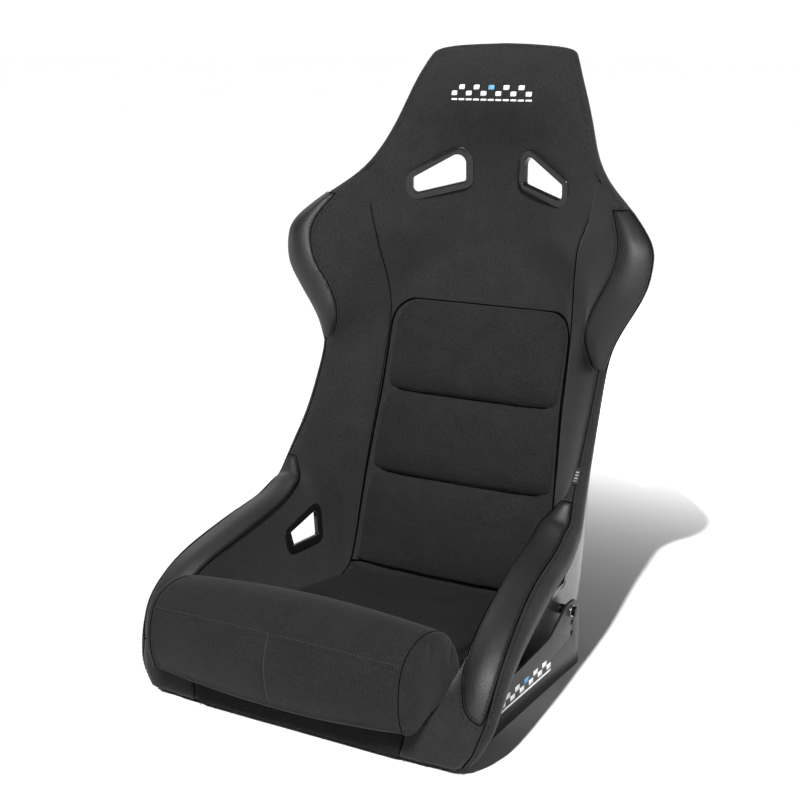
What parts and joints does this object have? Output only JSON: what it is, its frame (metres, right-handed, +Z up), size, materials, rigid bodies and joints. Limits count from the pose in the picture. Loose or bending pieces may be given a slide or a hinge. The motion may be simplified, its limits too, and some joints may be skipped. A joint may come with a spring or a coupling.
{
  "type": "racing seat",
  "caption": "Fixed-back bucket seat with shoulder wings, thigh bolsters, harness openings, removable cushions and side brackets.",
  "frame": {"origin": "on the floor plane, under the middle of the seat's box", "axes": "+Z up; the occupant faces -Y; +X is the occupant's left"},
  "size_m": [0.5712, 0.639, 0.8338],
  "materials": {
    "fabric": "black knit",
    "vinyl": "black grained vinyl",
    "foam": "grey foam",
    "laminate": "black gel-coat glass fibre",
    "moulded_plastic": "satin moulded black",
    "bracket_paint": "black powder coat",
    "black_steel": "black oxide",
    "zinc": "bright zinc",
    "label": "woven or printed label"
  },
  "bodies": {
    "root": {"back_cover": "fabric", "back_cushion": "fabric", "back_foam": "foam", "base_cover": "fabric", "base_foam": "foam", "bracket_decal_left": "label", "bracket_decal_right": "label", "bracket_left": "bracket_paint", "bracket_right": "bracket_paint", "edge_band_left": "fabric", "edge_band_right": "fabric", "head_foam": "foam", "headrest_emblem": "label", "lap_bezel_left": "moulded_plastic", "lap_bezel_outer_left": "moulded_plastic", "lap_bezel_outer_right": "moulded_plastic", "lap_bezel_right": "moulded_plastic", "mount_bolts": "black_steel", "mount_spacers": "black_steel", "mount_washers": "zinc", "seat_pad": "fabric", "shell": "laminate", "shoulder_bezel_left": "moulded_plastic", "shoulder_bezel_right": "moulded_plastic", "side_cover_left": "fabric", "side_cover_right": "fabric", "side_foam_left": "foam", "side_foam_right": "foam", "side_tag": "label", "thigh_patch_left": "vinyl", "thigh_patch_right": "vinyl", "thigh_roll": "fabric", "threaded_inserts": "black_steel", "wing_patch_left": "vinyl", "wing_patch_right": "vinyl"}
  },
  "joints": []
}
